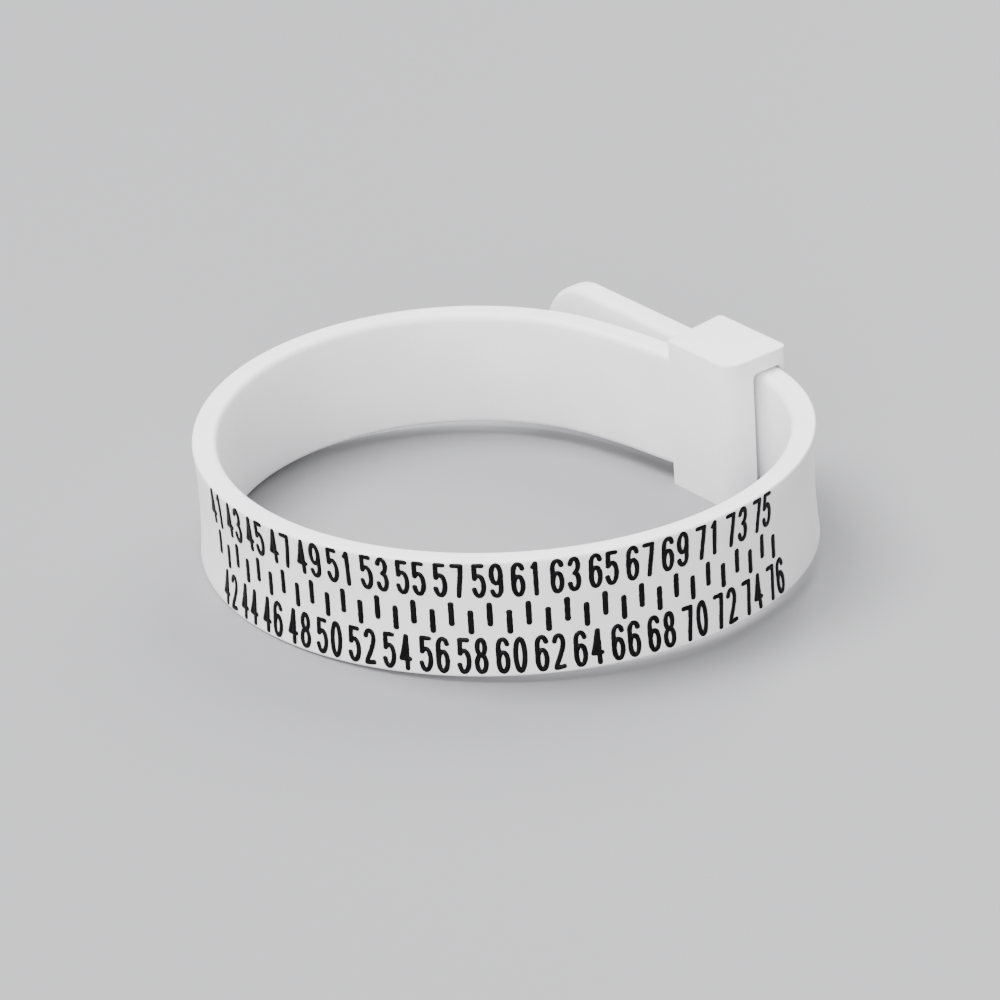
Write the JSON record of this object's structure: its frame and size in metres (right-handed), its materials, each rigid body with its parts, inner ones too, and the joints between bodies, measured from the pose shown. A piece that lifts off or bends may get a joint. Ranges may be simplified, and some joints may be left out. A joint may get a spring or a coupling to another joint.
{
  "type": "ring sizer",
  "caption": "Flexible belt ring sizer: a strap closed into a finger loop through a buckle block, with a millimetre size scale round the outside.",
  "frame": {"origin": "bottom centre of the bounding box: Z = 0 is the underside of the buckle block, and the Z axis runs up through the loop", "axes": "+Z along the axis of the finger loop, towards the edge that carries the odd sizes; +Y from the front of the loop, where the middle sizes are, towards the tail; +X to the right, the way the sizes rise along the front"},
  "size_m": [0.0342, 0.0364, 0.0091],
  "materials": {
    "buckle_plastic": "satin moulded near-white plastic",
    "strap_plastic": "satin moulded near-white plastic"
  },
  "bodies": {
    "buckle": {"buckle_body": "buckle_plastic", "strap_root": "strap_plastic"},
    "strap_01_03": {"strap_link_01": "strap_plastic", "strap_link_02": "strap_plastic", "strap_link_03": "strap_plastic"},
    "strap_04_06": {"strap_link_04": "strap_plastic", "strap_link_05": "strap_plastic", "strap_link_06": "strap_plastic"},
    "strap_07_09": {"strap_link_07": "strap_plastic", "strap_link_08": "strap_plastic", "strap_link_09": "strap_plastic"},
    "strap_10_12": {"strap_link_10": "strap_plastic", "strap_link_11": "strap_plastic", "strap_link_12": "strap_plastic"},
    "strap_13_15": {"strap_link_13": "strap_plastic", "strap_link_14": "strap_plastic", "strap_link_15": "strap_plastic"},
    "strap_16_18": {"strap_link_16": "strap_plastic", "strap_link_17": "strap_plastic", "strap_link_18": "strap_plastic"},
    "strap_19_20": {"strap_link_19": "strap_plastic", "strap_link_20": "strap_plastic"},
    "strap_21": {"strap_link_21": "strap_plastic"},
    "strap_22": {"strap_link_22": "strap_plastic"},
    "strap_23": {"strap_link_23": "strap_plastic"},
    "tail": {"strap_link_24": "strap_plastic", "strap_tail": "strap_plastic"}
  },
  "joints": [
    {"name": "bend_01", "type": "hinge", "parent": "buckle", "child": "strap_01_03", "pos_m": [0.0067, 0.00914, 0.00457], "axis": [0, 0, 1], "range_deg": [-0.34, 1.33]},
    {"name": "bend_04", "type": "hinge", "parent": "strap_01_03", "child": "strap_04_06", "pos_m": [-0.00427, 0.01308, 0.00457], "axis": [0, 0, 1], "range_deg": [-0.77, 3.06]},
    {"name": "feed_bend_07", "type": "hinge", "parent": "strap_04_06", "child": "strap_07_09", "pos_m": [-0.01415, 0.00694, 0.00457], "axis": [0, 0, 1], "range_deg": [-0.88, 3.53]},
    {"name": "bend_10", "type": "hinge", "parent": "strap_07_09", "child": "strap_10_12", "pos_m": [-0.01611, -0.00463, 0.00457], "axis": [0, 0, 1], "range_deg": [-0.94, 3.73]},
    {"name": "bend_13", "type": "hinge", "parent": "strap_10_12", "child": "strap_13_15", "pos_m": [-0.00962, -0.01444, 0.00457], "axis": [0, 0, 1], "range_deg": [-0.98, 3.92]},
    {"name": "bend_16", "type": "hinge", "parent": "strap_13_15", "child": "strap_16_18", "pos_m": [0.00174, -0.01757, 0.00457], "axis": [0, 0, 1], "range_deg": [-0.96, 3.85]},
    {"name": "bend_19", "type": "hinge", "parent": "strap_16_18", "child": "strap_19_20", "pos_m": [0.01242, -0.01263, 0.00457], "axis": [0, 0, 1], "range_deg": [-0.89, 3.55]},
    {"name": "bend_21", "type": "hinge", "parent": "strap_19_20", "child": "strap_21", "pos_m": [0.01622, -0.00568, 0.00457], "axis": [0, 0, 1], "range_deg": [-3.41, 13.62]},
    {"name": "bend_22", "type": "hinge", "parent": "strap_21", "child": "strap_22", "pos_m": [0.01645, -0.00168, 0.00457], "axis": [0, 0, 1], "range_deg": [-5.61, 1.41]},
    {"name": "bend_23", "type": "hinge", "parent": "strap_22", "child": "strap_23", "pos_m": [0.01536, 0.00216, 0.00457], "axis": [0, 0, 1], "range_deg": [-20.84, 5.21]},
    {"name": "bend_24", "type": "hinge", "parent": "strap_23", "child": "tail", "pos_m": [0.01295, 0.00536, 0.00457], "axis": [0, 0, 1], "range_deg": [-2.12, 0.53]}
  ],
  "couplings": [
    {"joint": "bend_01", "follows": "feed_bend_07", "ratio": 0.37729},
    {"joint": "bend_04", "follows": "feed_bend_07", "ratio": 0.8655},
    {"joint": "bend_10", "follows": "feed_bend_07", "ratio": 1.0567},
    {"joint": "bend_13", "follows": "feed_bend_07", "ratio": 1.1092},
    {"joint": "bend_16", "follows": "feed_bend_07", "ratio": 1.0887},
    {"joint": "bend_19", "follows": "feed_bend_07", "ratio": 1.0046},
    {"joint": "bend_21", "follows": "feed_bend_07", "ratio": 3.8561},
    {"joint": "bend_22", "follows": "feed_bend_07", "ratio": -1.589},
    {"joint": "bend_23", "follows": "feed_bend_07", "ratio": -5.9006},
    {"joint": "bend_24", "follows": "feed_bend_07", "ratio": -0.60137}
  ]
}
